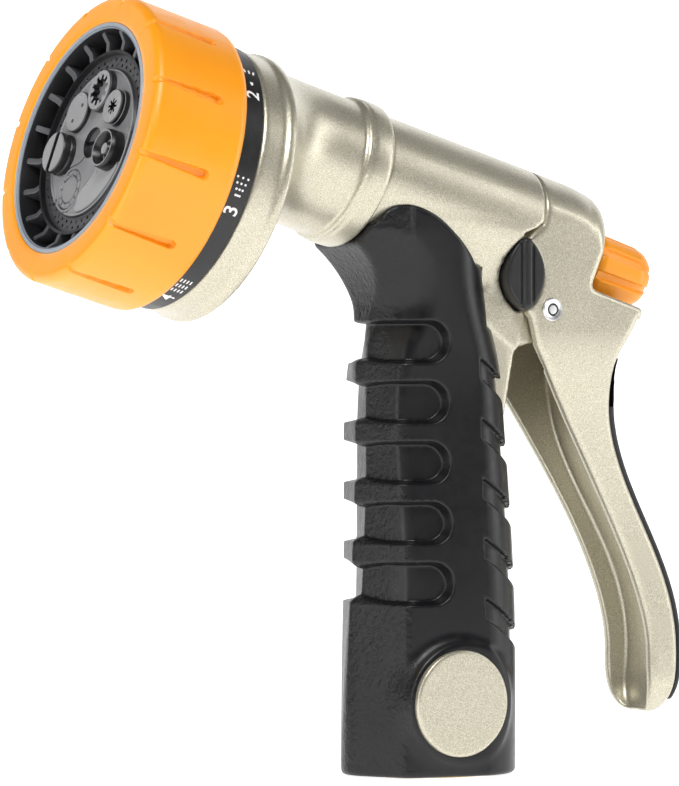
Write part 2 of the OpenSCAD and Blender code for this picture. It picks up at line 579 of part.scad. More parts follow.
module centre_screw() color(steel) {
    on_head(screw_tip_s) cylinder(r = screw_r - 0.6, h = 9.6);
    on_head(flange_s) cylinder(r = screw_r, h = screw_head_s - flange_s);
    on_head(screw_head_s) difference() {
        cylinder(r = screw_r + 0.6, h = 1.2);
        translate([-0.4, -5, 0.5]) cube([0.8, 10, 2]);
    }
}
module screw_washer() color(steel) on_head(plate_s - plate_t + 1.02) tube(screw_r + 0.6, screw_r + 0.02, 0.36);
module port_seal() color(black) on_head(flange_s - 2.6) station(0) tube(seal_r, 2.2, 2.75);
module port_spring() color(steel) on_head(flange_s - seal_pocket) station(0) coil(seal_r - 0.7, 0.4, seal_pocket - 2.6, 3);
module detent_ball() color(steel) on_head(turret_s + detent_proud - detent_r) station(180, detent_pitch)
    sphere(r = detent_r, $fn = 32);
module detent_spring() color(steel) on_head(flange_s - 5) station(180, detent_pitch)
    coil(detent_r - 0.45, 0.25, 5 + turret_s - flange_s + detent_proud - 2 * detent_r, 4);

body_casting();
front_neck();
neck_oring();
grip_sleeve();
badge_left();
badge_right();
inlet_insert();
hose_washer();
inlet_filter();
trigger_lever();
lever_pad();
pivot_pin();
pin_clip();
lock_button();
lock_bolt();
lock_button_far();
valve_stem();
valve_plunger();
plunger_seal();
return_spring();
packing_gland();
gland_oring();
thrust_washer();
flow_knob();
knob_insert();
turret_back();
index_band();
selector_ring();
head_housing();
trim_ring();
pattern_plate();
jet_insert();
cone_insert();
mist_insert();
flat_insert();
angle_insert();
centre_screw();
screw_washer();
port_seal();
port_spring();
detent_ball();
detent_spring();
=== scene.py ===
"""Looks of the hose spray nozzle: detailed shells, materials, light and camera around the CAD frame."""
import json
import math
import bmesh
import bpy
import numpy as np
from mathutils import Matrix, Vector


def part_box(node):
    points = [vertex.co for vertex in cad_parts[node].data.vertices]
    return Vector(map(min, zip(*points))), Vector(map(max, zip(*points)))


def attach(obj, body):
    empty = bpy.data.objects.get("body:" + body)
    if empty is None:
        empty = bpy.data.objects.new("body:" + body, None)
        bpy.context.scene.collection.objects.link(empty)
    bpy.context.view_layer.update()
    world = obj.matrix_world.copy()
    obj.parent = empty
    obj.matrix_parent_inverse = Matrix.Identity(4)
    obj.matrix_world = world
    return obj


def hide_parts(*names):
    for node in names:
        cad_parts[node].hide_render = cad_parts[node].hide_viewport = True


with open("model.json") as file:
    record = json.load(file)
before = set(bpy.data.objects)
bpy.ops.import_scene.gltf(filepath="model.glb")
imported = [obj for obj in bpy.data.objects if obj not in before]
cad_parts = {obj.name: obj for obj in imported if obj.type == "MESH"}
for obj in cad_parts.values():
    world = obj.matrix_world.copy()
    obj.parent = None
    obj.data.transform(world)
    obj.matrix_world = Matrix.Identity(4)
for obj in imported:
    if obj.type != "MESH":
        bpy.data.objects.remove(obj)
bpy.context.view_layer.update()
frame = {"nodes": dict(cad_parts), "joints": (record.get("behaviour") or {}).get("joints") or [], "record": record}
joints = {j["name"]: j for j in frame["joints"]}

# ---- the CAD frame's own places, in millimetres ----
MM = 1000.0
AXIS = np.array(joints["selector_turn"]["axis"])
COS_T, SIN_T = AXIS[0], AXIS[2]
BARREL_Z = joints["knob_turn"]["pos_m"][2] * MM
PIN_X, _, PIN_Z = (v * MM for v in joints["trigger_pull"]["pos_m"])


def extent(node, axis):
    """Lowest and highest place of a CAD node along one axis, in millimetres."""
    low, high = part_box(node)
    return low[axis] * MM, high[axis] * MM


def along(x, z):
    """Distance along the barrel axis, forward of the grip axis."""
    return x * COS_T + (z - BARREL_Z) * SIN_T


def below(x, z):
    """Distance below the barrel axis."""
    return x * SIN_T - (z - BARREL_Z) * COS_T


def on_side(s, drop):
    """The X and Z of a place given along and below the barrel axis."""
    return (s * COS_T + drop * SIN_T, BARREL_Z + s * SIN_T - drop * COS_T)


def from_pin(x, z):
    return (PIN_X + x, PIN_Z + z)


BARREL_R = 14.0
FOOT_Y = extent("grip_sleeve", 1)[1]
CHEEK_Y = 10.4
GAP = 0.35
EAR_IN = CHEEK_Y + GAP
EAR_OUT = EAR_IN + 2.2
HEAD_DROP = below(*(joints["selector_turn"]["pos_m"][i] * MM for i in (0, 2)))
HOOD_S = -20.0 - GAP
SADDLE_S = -33.4
SADDLE_T = 2.5
TAIL_S = SADDLE_S - SADDLE_T - 2.0
KNOB_R = 6.6
KNOB_SKIN_R = 7.0
LEDGE_DROP = KNOB_R + 0.6
LEDGE_S = TAIL_S - 11.9
PAD_T = 1.8
WALL = 2.2
LOCK_X, LOCK_Z = on_side(-27.4 + 8.7, 14.5 - 5.1)
LOCK_R, LOCK_HALF = 8.4, 7.5


# ---- distance fields: every shape below is the set of places where its field is negative ----
def smin(a, b, k):
    h = np.maximum(k - np.abs(a - b), 0) / k
    return np.minimum(a, b) - h * h * k / 4


def smax(a, b, k):
    return -smin(-a, -b, k)


def polygon(x, z, points):
    """Signed distance to a closed outline in the X-Z plane."""
    pts = np.array(points, float)
    dist = np.full(np.broadcast(x, z).shape, 1e9)
    inside = np.zeros(dist.shape, bool)
    for (ax, az), (bx, bz) in zip(pts, np.roll(pts, -1, axis=0)):
        ex, ez = bx - ax, bz - az
        wx, wz = x - ax, z - az
        t = np.clip((wx * ex + wz * ez) / (ex * ex + ez * ez + 1e-12), 0, 1)
        dist = np.minimum(dist, (wx - ex * t) ** 2 + (wz - ez * t) ** 2)
        crosses = ((az > z) != (bz > z)) & (wx < ex * wz / (ez if ez else 1e-12))
        inside ^= crosses
    return np.where(inside, -1, 1) * np.sqrt(dist)


def bezier(a, b, c, d, count):
    a, b, c, d = (np.array(v) for v in (a, b, c, d))
    out = []
    for i in range(count + 1):
        t = i / count
        u = 1 - t
        out.append(tuple(u ** 3 * a + 3 * u * u * t * b + 3 * u * t * t * c + t ** 3 * d))
    return out


def curve(x, places, values):
    """A smooth curve through a few places, level beyond both ends."""
    places, values = np.array(places, float), np.array(values, float)
    slope = np.gradient(values, places)
    slope[[0, -1]] = 0
    x = np.clip(x, places[0], places[-1])
    i = np.clip(np.searchsorted(places, x, side="right") - 1, 0, len(places) - 2)
    h = places[i + 1] - places[i]
    t = (x - places[i]) / h
    return ((1 + 2 * t) * (1 - t) ** 2 * values[i] + t * (1 - t) ** 2 * h * slope[i]
            + t * t * (3 - 2 * t) * values[i + 1] + t * t * (t - 1) * h * slope[i + 1])


def smoothstep(x, low, high):
    t = np.clip((x - low) / (high - low), 0, 1)
    return t * t * (3 - 2 * t)


def lens(x, z, grow=0.0):
    """The lock button's outline: where two circles overlap."""
    shift = math.sqrt(LOCK_R ** 2 - LOCK_HALF ** 2)
    left = np.hypot(x - LOCK_X + shift, z - LOCK_Z) - LOCK_R - grow
    right = np.hypot(x - LOCK_X - shift, z - LOCK_Z) - LOCK_R - grow
    return np.maximum(left, right)


# ---- meshes ----
def add_object(name, verts, faces, body, slot, material, *replaced, sharp=None):
    mesh = bpy.data.meshes.new(name)
    mesh.from_pydata(np.asarray(verts, float).tolist(), [],
                     faces if isinstance(faces, list) else faces.tolist())
    mesh.shade_smooth()
    if sharp is not None:
        mesh.set_sharp_from_angle(angle=math.radians(sharp))
    obj = bpy.data.objects.new(name, mesh)
    bpy.context.scene.collection.objects.link(obj)
    obj.data.materials.append(material)
    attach(obj, body)
    if replaced:
        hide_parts(*replaced)
    return obj


def gradient(field, p, eps=0.02):
    grad = np.empty_like(p)
    for i in range(3):
        step = np.zeros(3)
        step[i] = eps
        grad[:, i] = (field(*(p + step).T) - field(*(p - step).T)) / (2 * eps)
    return grad


def settle(field, p, reach, rounds=4):
    """Moves each point down the field onto its surface, by no more than reach a round."""
    for _ in range(rounds):
        grad = gradient(field, p)
        size = np.maximum((grad ** 2).sum(axis=1, keepdims=True), 0.05)
        move = -field(*p.T)[:, None] * grad / size
        length = np.linalg.norm(move, axis=1, keepdims=True)
        p = p + move * np.minimum(1, reach / np.maximum(length, 1e-9))
    return p


def sculpt(name, field, low, high, pitch, body, slot, material, *replaced):
    """Meshes the surface of a field: one point in each cell that the surface crosses, settled onto it."""
    axes = [np.arange(lo, hi + pitch, pitch) for lo, hi in zip(low, high)]
    grids = [a.reshape([-1 if i == k else 1 for i in range(3)]) for k, a in enumerate(axes)]
    value = np.broadcast_to(field(*grids), [len(a) for a in axes])
    inside = value < 0
    n = np.array(inside.shape)
    count = sum(inside[i:n[0] - 1 + i, j:n[1] - 1 + j, k:n[2] - 1 + k].astype(np.int8)
                for i in (0, 1) for j in (0, 1) for k in (0, 1))
    active = (count > 0) & (count < 8)
    cells = np.argwhere(active)
    index = np.full(active.shape, -1)
    index[active] = np.arange(len(cells))
    faces = []
    for axis in range(3):
        u, w = (axis + 1) % 3, (axis + 2) % 3
        first = [slice(None)] * 3
        second = [slice(None)] * 3
        first[axis], second[axis] = slice(0, -1), slice(1, None)
        starts = inside[tuple(first)]
        edges = np.argwhere(starts != inside[tuple(second)])
        keep = (edges[:, u] > 0) & (edges[:, w] > 0) & (edges[:, u] < n[u] - 1) & (edges[:, w] < n[w] - 1)
        edges = edges[keep]
        du, dw = np.eye(3, dtype=int)[u], np.eye(3, dtype=int)[w]
        ring = [index[tuple((edges - a * du - b * dw).T)] for a, b in ((1, 1), (0, 1), (0, 0), (1, 0))]
        quad = np.stack(ring, axis=1)
        solid = starts[tuple(edges.T)]
        faces.append(np.where(solid[:, None], quad, quad[:, ::-1]))
    faces = np.concatenate(faces)
    points = np.array([a[0] for a in axes]) + (cells + 0.5) * pitch
    points = settle(field, points, pitch * 0.6)
    # even the points out along the surface, then settle them again
    edges = np.concatenate([faces[:, [i, (i + 1) % 4]] for i in range(4)])
    degree = np.bincount(edges.ravel(), minlength=len(points))[:, None]
    for _ in range(2):
        total = np.zeros_like(points)
        np.add.at(total, edges[:, 0], points[edges[:, 1]])
        np.add.at(total, edges[:, 1], points[edges[:, 0]])
        points = settle(field, points * 0.5 + total / degree * 0.5, pitch * 0.4, 2)
    return add_object(name, points / MM, faces, body, slot, material, *replaced)


def barrel_to_world(local):
    """World places, in metres, of points given as (up, towards +Y, along) from the barrel axis."""
    up, side, s = np.moveaxis(np.asarray(local, float), -1, 0)
    x, z = on_side(s, -up)
    return np.stack([x, side, z], axis=-1) / MM


def revolve(name, radius, places, body, slot, material, *replaced, centre=(0.0, 0.0), count=360, sharp=None,
            place=barrel_to_world):
    """A lathe-like skin round an axis at a centre (up, side).

    radius(angle, i) gives the radius at place i, where angle 0 is at the top. The profile
    runs out from the axis and back to it, or closes on itself as a ring.
    """
    angle = np.arange(count) * 2 * math.pi / count
    places = np.asarray(places, float)
    closed = radius(angle, 0)[0] > 1e-6
    rows = []
    for i, s in enumerate(places):
        r = radius(angle, i)
        rows.append(place(np.stack([centre[0] + r * np.cos(angle), centre[1] + r * np.sin(angle),
                                    s + 0 * angle], -1)))
    verts = np.concatenate(rows)
    n = len(places)
    faces = []
    for i in range(n if closed else n - 1):
        a, b = i * count, (i + 1) % n * count
        k = np.arange(count)
        faces.append(np.stack([a + k, a + (k + 1) % count, b + (k + 1) % count, b + k], -1))
    faces = np.concatenate(faces)
    obj = add_object(name, verts, faces, body, slot, material, *replaced, sharp=sharp)
    if not closed:
        weld(obj)
    return obj


def weld(obj, distance=1e-6):
    mesh = bmesh.new()
    mesh.from_mesh(obj.data)
    bmesh.ops.remove_doubles(mesh, verts=mesh.verts, dist=distance)
    bmesh.ops.recalc_face_normals(mesh, faces=mesh.faces)
    mesh.to_mesh(obj.data)
    mesh.free()


# ---- materials ----
def new_material(name, base, rough, metal=0.0):
    mat = bpy.data.materials.new(name)
    mat.use_nodes = True
    shader = mat.node_tree.nodes["Principled BSDF"]
    shader.inputs["Base Color"].default_value = (*base, 1)
    shader.inputs["Roughness"].default_value = rough
    shader.inputs["Metallic"].default_value = metal
    return mat, mat.node_tree, shader


def noise(tree, scale, detail=3.0, rough=0.5, kind="ShaderNodeTexNoise"):
    coord = tree.nodes.new("ShaderNodeTexCoord")
    node = tree.nodes.new(kind)
    node.inputs["Scale"].default_value = scale
    if kind == "ShaderNodeTexNoise":
        node.inputs["Detail"].default_value = detail
        node.inputs["Roughness"].default_value = rough
    tree.links.new(coord.outputs["Object"], node.inputs["Vector"])
    return node.outputs["Fac"] if kind == "ShaderNodeTexNoise" else node.outputs["Distance"]


def ramp(tree, fac, stops):
    node = tree.nodes.new("ShaderNodeValToRGB")
    elements = node.color_ramp.elements
    while len(elements) < len(stops):
        elements.new(0.5)
    for element, (place, color) in zip(elements, stops):
        element.position = place
        element.color = (*color, 1)
    tree.links.new(fac, node.inputs["Fac"])
    return node.outputs["Color"]


def spread(tree, fac, low, high, start=0.3, end=0.7):
    node = tree.nodes.new("ShaderNodeMapRange")
    node.inputs["From Min"].default_value = start
    node.inputs["From Max"].default_value = end
    node.inputs["To Min"].default_value = low
    node.inputs["To Max"].default_value = high
    tree.links.new(fac, node.inputs["Value"])
    return node.outputs["Result"]


def bump(tree, shader, height, strength, distance, before=None):
    node = tree.nodes.new("ShaderNodeBump")
    node.inputs["Strength"].default_value = strength
    node.inputs["Distance"].default_value = distance
    tree.links.new(height, node.inputs["Height"])
    if before is not None:
        tree.links.new(before, node.inputs["Normal"])
    tree.links.new(node.outputs["Normal"], shader.inputs["Normal"])
    return node.outputs["Normal"]


def champagne_paint():
    """Metallic paint: a fine flake that glitters, over a faint unevenness."""
    mat, tree, shader = new_material("champagne_paint", (0.5, 0.47, 0.37), 0.34, 0.7)
    flake = noise(tree, 5200, 2, 0.7)
    cloud = noise(tree, 90, 3)
    tree.links.new(ramp(tree, flake, [(0.32, (0.37, 0.34, 0.245)), (0.5, (0.53, 0.495, 0.385)),
                                      (0.72, (0.78, 0.75, 0.64))]), shader.inputs["Base Color"])
    tree.links.new(spread(tree, cloud, 0.30, 0.38), shader.inputs["Roughness"])
    normal = bump(tree, shader, noise(tree, 3400, 2, 0.6), 0.22, 0.0002)
    bump(tree, shader, noise(tree, 260, 2), 0.05, 0.0006, normal)
    shader.inputs["Coat Weight"].default_value = 0.25
    shader.inputs["Coat Roughness"].default_value = 0.12
    return mat


def plastic(name, color, shade, rough, grain=2200, strength=0.12, coat=0.0):
    """Moulded plastic with a fine spark-eroded grain and a slight colour drift."""
    mat, tree, shader = new_material(name, color, rough)
    drift = noise(tree, 60, 3)
    tree.links.new(ramp(tree, drift, [(0.3, shade), (0.7, color)]), shader.inputs["Base Color"])
    tree.links.new(spread(tree, noise(tree, 420, 4), rough - 0.05, rough + 0.06), shader.inputs["Roughness"])
    bump(tree, shader, noise(tree, grain, 3, 0.6), strength, 0.0002)
    shader.inputs["Coat Weight"].default_value = coat
    shader.inputs["Coat Roughness"].default_value = 0.2
    return mat


def grip_rubber():
    """Black rubber: leather grain on the front facets, fine grain elsewhere."""
    mat, tree, shader = new_material("grip_rubber", (0.007, 0.007, 0.008), 0.4)
    tree.links.new(ramp(tree, noise(tree, 70, 3),
                        [(0.3, (0.005, 0.005, 0.006)), (0.7, (0.009, 0.009, 0.010))]),
                   shader.inputs["Base Color"])
    tree.links.new(spread(tree, noise(tree, 500, 4), 0.28, 0.38), shader.inputs["Roughness"])
    leather = noise(tree, 900, 3, 0.65)
    coord = tree.nodes.new("ShaderNodeTexCoord")
    split = tree.nodes.new("ShaderNodeSeparateXYZ")
    tree.links.new(coord.outputs["Object"], split.inputs[0])
    front = tree.nodes.new("ShaderNodeMapRange")
    front.inputs["From Min"].default_value = 0.0118
    front.inputs["From Max"].default_value = 0.0132
    tree.links.new(split.outputs["X"], front.inputs["Value"])
    deep = tree.nodes.new("ShaderNodeMath")
    deep.operation = "MULTIPLY"
    tree.links.new(leather, deep.inputs[0])
    tree.links.new(front.outputs["Result"], deep.inputs[1])
    normal = bump(tree, shader, deep.outputs[0], 0.55, 0.0006)
    bump(tree, shader, noise(tree, 2600, 2), 0.08, 0.0002, normal)
    shader.inputs["Specular IOR Level"].default_value = 0.34
    return mat


def face_plastic_painted_shade(name, stops, low, high, flat=(0.55, 0.9)):
    """Grey plastic with painted shade and painted light: dark on its walls and low places, lighter on high tops
    that face the spray, by height along the axis.
    """
    mat, tree, shader = new_material(name, (0.2, 0.2, 0.2), 0.32)
    coord = tree.nodes.new("ShaderNodeTexCoord")

    def along_axis(output):
        node = tree.nodes.new("ShaderNodeVectorMath")
        node.operation = "DOT_PRODUCT"
        node.inputs[1].default_value = tuple(AXIS)
        tree.links.new(coord.outputs[output], node.inputs[0])
        return node.outputs["Value"]
    shift = BARREL_Z * SIN_T
    height = spread(tree, along_axis("Object"), 0.0, 1.0, (low + shift) / MM, (high + shift) / MM)
    facing = spread(tree, along_axis("Normal"), 0.0, 1.0, *flat)
    # painted shade and painted light: walls and deep places darkened, high tops facing along the axis lightened
    both = tree.nodes.new("ShaderNodeMath")
    both.operation = "MULTIPLY"
    tree.links.new(height, both.inputs[0])
    tree.links.new(facing, both.inputs[1])
    tree.links.new(ramp(tree, both.outputs[0], stops), shader.inputs["Base Color"])
    tree.links.new(spread(tree, noise(tree, 420, 4), 0.27, 0.38), shader.inputs["Roughness"])
    bump(tree, shader, noise(tree, 2400, 3, 0.6), 0.08, 0.0002)
    return mat


def turned_metal(name, color, rough):
    mat, tree, shader = new_material(name, color, rough, 1.0)
    streak = noise(tree, 1500, 4, 0.6)
    tree.links.new(ramp(tree, streak, [(0.3, tuple(0.8 * c for c in color)), (0.7, color)]),
                   shader.inputs["Base Color"])
    tree.links.new(spread(tree, noise(tree, 300, 3), rough - 0.06, rough + 0.08), shader.inputs["Roughness"])
    bump(tree, shader, streak, 0.06, 0.0001)
    return mat


PAINT = champagne_paint()
ORANGE = plastic("orange_plastic", (0.91, 0.33, 0.008), (0.88, 0.305, 0.006), 0.38, 1500, 0.10, 0.08)
RUBBER = grip_rubber()
SEAL = plastic("seal_rubber", (0.02, 0.02, 0.021), (0.015, 0.015, 0.016), 0.6)
BLACK = plastic("black_plastic", (0.012, 0.012, 0.013), (0.008, 0.008, 0.009), 0.38, 2600, 0.10)
GREY = plastic("grey_plastic", (0.15, 0.15, 0.155), (0.11, 0.11, 0.115), 0.38, 2400, 0.10)
TRIM = plastic("trim_plastic", (0.30, 0.335, 0.375), (0.25, 0.285, 0.325), 0.33, 2000, 0.08)
STEEL = turned_metal("turned_steel", (0.62, 0.62, 0.63), 0.28)
BRASS = turned_metal("turned_brass", (0.72, 0.50, 0.20), 0.3)
RIB = plastic("rib_plastic", (0.085, 0.085, 0.09), (0.065, 0.065, 0.07), 0.34, 2400, 0.08)
RAISED_S = 78.4  # the plate's front, along the axis
# painted shade on the walls and low places of the plugs and plate relief, painted light on their high tops
FACE = face_plastic_painted_shade("plug_plastic_painted_shade", [(0.0, (0.012, 0.012, 0.013)), (0.5, (0.05, 0.05, 0.052)),
                                     (1.0, (0.25, 0.25, 0.255))],
                    RAISED_S + 0.45, RAISED_S + 0.75)
RELIEF = face_plastic_painted_shade("relief_plastic_painted_shade", [(0.0, (0.012, 0.012, 0.013)), (0.3, (0.045, 0.045, 0.048)),
                                         (0.55, (0.20, 0.20, 0.205)), (0.7, (0.21, 0.21, 0.215)),
                                         (1.0, (0.30, 0.30, 0.305))],
                      RAISED_S - 1.0, RAISED_S + 0.5, (0.2, 0.8))
CHROME = turned_metal("chrome", (0.95, 0.95, 0.96), 0.34)
DARK_STEEL = turned_metal("dark_steel", (0.16, 0.16, 0.17), 0.35)
MARK = plastic("mark_ink", (0.85, 0.85, 0.85), (0.78, 0.78, 0.78), 0.5)
BY_SLOT = {"champagne_paint": PAINT, "orange_plastic": ORANGE, "black_rubber": RUBBER, "seal_rubber": SEAL,
           "black_plastic": BLACK, "grey_plastic": GREY, "trim_plastic": TRIM,
           "steel": STEEL, "brass": BRASS}


# ---- body ----
THROAT = [on_side(11, 9), from_pin(26, -14), from_pin(10, -22), from_pin(7.5, -9), from_pin(4, 4),
          on_side(-18, 4)]
LUG = [on_side(-30, 6), on_side(-30, 9), from_pin(-6, 0), from_pin(-4, -4.4), from_pin(0, -6),
       from_pin(7.5, -8),
       from_pin(18, 0), on_side(-16, 4)]
EAR_ROOM = [on_side(-21, -3.4), on_side(HOOD_S + 1.4 + GAP, -0.2 - GAP),
            (LOCK_X + 0.4, LOCK_Z + LOCK_HALF + 0.9),
            from_pin(9, 6), from_pin(9, -30), from_pin(-16, -30), on_side(-50, -3.4)]


def body_field(x, y, z):
    s, drop = along(x, z), below(x, z)
    side = np.abs(y)
    barrel = smax(np.hypot(drop, y) - BARREL_R, np.abs(s + 0.5) - 19.5, 0.4)
    web = smax(polygon(x, z, THROAT), side - CHEEK_Y, 0.8)
    shell = smin(barrel, web, 5.0)
    room = smax(polygon(x, z, EAR_ROOM), CHEEK_Y - side, 0.3)
    shell = smax(shell, -room, 0.3)
    boss = smax(np.hypot(drop, y) - 9.5, np.abs(s + 24) - 6, 0.6)
    lug = smax(smin(polygon(x, z, LUG), np.hypot(x - PIN_X, z - PIN_Z) - 6, 1.5), side - CHEEK_Y, 0.6)
    axis = np.hypot(x, y)
    core = np.maximum(axis - np.clip(15.2 - (z - 19) * 0.55, 11, 15.2), np.maximum(0.3 - z, z - 108))
    solid = np.minimum(smin(smin(shell, boss, 0.6), lug, 1.0), core)
    solid = np.maximum(solid, -np.maximum(lens(x, z, 0.3), 6.9 - side))
    solid = np.maximum(solid, -np.maximum(axis - 14.6, z - 16))
    # everything that the grip covers stays under the grip's skin
    covered = np.maximum(-6 - x, curve(s, EDGE_S, EDGE_DROP) + 0.6 - drop)
    solid = np.maximum(solid, -np.maximum(covered, -1.0 - grip_skin(x, y, z)))
    return np.maximum(solid, 6.4 - np.where(z < 100, axis, 50))


# ---- neck ----
NECK_R, FLANGE_R = 14.4, 27.4


def neck_field(x, y, z):
    s, drop = along(x, z), below(x, z)
    flare = np.clip((s - 30) / 18.5, 0, 1) ** 3.2
    tube = np.hypot(drop - HEAD_DROP * flare, y) - (NECK_R + (FLANGE_R - 0.8 - NECK_R) * flare)
    tube = tube * np.where(flare > 0, 1 / np.sqrt(1 + (6.5 * flare) ** 2), 1)
    radial = np.hypot(drop, y)
    bead = smax(radial - 15.4 + 0.018 * (s - 22.2) ** 2, np.abs(s - 22.25) - 3.2, 0.9)
    groove = np.hypot(radial - 15.45, s - 24.3) - 0.35
    flange = smax(np.hypot(drop - HEAD_DROP, y) - FLANGE_R, np.abs(s - 52.3) - 3.7, 1.2)
    solid = smin(smax(tube, np.abs(s - 37.5) - 12.4, 0.3), flange, 1.6)
    solid = smin(solid, bead, 0.5)
    solid = smax(solid, -groove, 0.25)
    return np.maximum(solid, np.where(s > 50, -1e3, 6 - radial))


# ---- grip ----
POCKET_PITCH, POCKET_Z = 12.3, 39.6
SLOT_PITCH, SLOT_Z = 12.25, 31.4
BADGE_X = sum(extent("badge_left", 0)) / 2
BADGE_Z = sum(extent("badge_left", 2)) / 2
BADGE_FACE = extent("badge_left", 1)[1] - 0.35
EDGE_S = [-13.5, -12.4, -6.3, -0.7, 5.1, 9.5, 13.1, 16.5, 18.8]
EDGE_DROP = [22.0, 16.0, 10.4, 7.1, 4.6, 4.0, 4.5, 6.6, 10.5]


def grip_section(x, y, z):
    """Distance to the grip's outline at each height: a nose, two soft side edges and a round back."""
    side = np.abs(y)
    half = curve(z, [0, 36, 84, 97, 118], [FOOT_Y, FOOT_Y - 0.3, 14.3, 14.2, 14.5])
    nose = curve(z, [0, 36, 60, 88, 97, 100, 103.5, 106.5, 109, 112],
                 [20, 19.3, 18.4, 17.2, 15.8, 16.4, 17.9, 20.2, 22.9, 26.5])
    rear = curve(z, [0, 36, 70, 84, 98, 118], [16.2, 16.0, 13.9, 12.6, 9.0, 8.0])
    blunt = curve(z, [0, 88, 96, 104, 118], [1.8, 2.0, 4.5, 8.0, 9.0])
    back_r = half - 4.6
    back = np.hypot(x + rear - back_r, np.maximum(side - (half - back_r), 0)) - back_r
    back = np.where(x < back_r - rear, back, side - half)
    shoulder_x = nose - curve(z, [0, 36, 88, 97, 118], [6.9, 6.5, 5.6, 8.0, 10.0])
    shoulder_y = half - curve(z, [0, 36, 88, 97, 118], [3.4, 3.2, 2.6, 1.2, 0.6])
    # facet from the nose's corner to the shoulder
    ex, ey = shoulder_x - nose, shoulder_y - blunt
    length = np.hypot(ex, ey)
    facet = ((x - nose) * ey - (side - blunt) * ex) / length
    wx, wy = back_r - rear - shoulder_x, half - shoulder_y
    wall = ((x - shoulder_x) * wy - (side - shoulder_y) * wx) / np.hypot(wx, wy)
    front = smax(smax(facet, wall, 1.5), x - nose, 1.0)
    return np.where(x < back_r - rear, back, np.maximum(front, side - half))


def grip_skin(x, y, z):
    skin = grip_section(x, y, z)
    # finger pockets, cut in from the front to a round end on each side
    for i in range(5):
        dz = np.abs(z - POCKET_Z - i * POCKET_PITCH)
        end = 7.4
        outline = np.where(x < end, np.hypot(x - end, dz), dz) - 4.5
        slope = 0.9 + 2.6 * smoothstep(x, 13.0, 19.0)
        depth = 2.5 * smoothstep(-outline, 0.0, slope)
        skin = skin + depth
    # slanted slots at the back
    for i in range(5):
        dz = z - SLOT_Z - i * SLOT_PITCH - (x + 8.5) * 0.62
        cut = np.maximum(np.abs(dz) - 2.3, x + 3.6)
        skin = skin + 1.1 * smoothstep(-cut, 0.0, 0.45)
    # the rubber swells to a seat round the near badge
    seat = smax(np.hypot(x - BADGE_X, z - BADGE_Z) - 11.7, y - BADGE_FACE + 1.3, 0.8)
    return np.where((z < 32) & (y > 0), smin(skin, seat, 3.0), skin)


def grip_field(x, y, z):
    skin = smax(grip_skin(x, y, z), 0.1 - z, 1.2)
    s, drop = along(x, z), below(x, z)
    edge = curve(s, EDGE_S, EDGE_DROP)
    top = (edge - drop) * 0.8
    top = np.maximum(top, s - 18.9)
    skin = smax(skin, top, 0.9)
    hollow = np.maximum(np.hypot(x, y) - 14.0, z - 19)
    return np.maximum(skin, -hollow)


# ---- trigger ----
TIP = from_pin(-31.8, -85.3)


def handle_back(forward):
    return (bezier(from_pin(-24 + forward, -2), from_pin(-21 + forward, -8), from_pin(-18 + forward, -9),
                   from_pin(-18 + forward, -16), 8)
            + bezier(from_pin(-18 + forward, -17), from_pin(-18 + forward, -36),
                     from_pin(-37.0 + forward, -50),
                     from_pin(-37.0 + forward, -71.7), 24)
            + bezier(from_pin(-37.0 + forward, -72.5), from_pin(-37.0 + forward, -79),
                     from_pin(-35.6 + forward, -85.3), (TIP[0] + forward * 0.4, TIP[1]), 10))


HANDLE_FRONT = (bezier((TIP[0] + 0.6, TIP[1] + 0.05), from_pin(-29, -85), from_pin(-28, -80),
                       from_pin(-28, -73.5), 8)
                + bezier(from_pin(-28, -72.5), from_pin(-28, -55), from_pin(-8, -28),
                         from_pin(3.4, -7.5), 24))
HOOD_TOP = ([on_side(HOOD_S, -BARREL_R), on_side(SADDLE_S + 2, -BARREL_R + 0.5)]
            + bezier(on_side(SADDLE_S, -BARREL_R + 0.8), on_side(TAIL_S + 1, -BARREL_R + 2.0),
                     on_side(TAIL_S, -BARREL_R + 4.5), on_side(TAIL_S + 0.3, -BARREL_R + 8), 10))
LEVER_SIDE = (HOOD_TOP
              + bezier(on_side(TAIL_S + 1.7, LEDGE_DROP - 1.6), on_side(TAIL_S + 1.8, LEDGE_DROP - 0.3),
                       on_side(TAIL_S + 1.3, LEDGE_DROP), on_side(TAIL_S, LEDGE_DROP + 0.05), 6)
              + [on_side(LEDGE_S + 0.6, LEDGE_DROP + 0.25), on_side(LEDGE_S - 0.1, LEDGE_DROP + 0.9)]
              + [on_side(LEDGE_S - 0.2, LEDGE_DROP + 2.6)]
              + handle_back(PAD_T) + HANDLE_FRONT
              + [from_pin(4.8, -2), (LOCK_X - 1.2, LOCK_Z - LOCK_HALF - 0.6),
                 (LOCK_X - 1, LOCK_Z + LOCK_HALF),
                 on_side(HOOD_S + 1.4, -0.2), on_side(HOOD_S, -2)])
HANDLE_HOLLOW = ([from_pin(-24 + WALL + 6, -1)] + handle_back(PAD_T + WALL)
                 + [from_pin(-20, -84), from_pin(-10, -60), from_pin(14, -14), from_pin(14, -1)])


def handle_half(z):
    """Half width of the trigger at each height."""
    low = PIN_Z - 85.3
    width = curve(z, [low + 7, PIN_Z - 40, PIN_Z - 24, PIN_Z - 4], [9.0, 9.0, 10.4, EAR_OUT])
    tip = np.clip((z - low) / 8.5, 0, 1)
    return np.where(z < low + 8.5, width * (0.42 + 0.58 * np.sqrt(1 - (1 - tip) ** 2)), width)


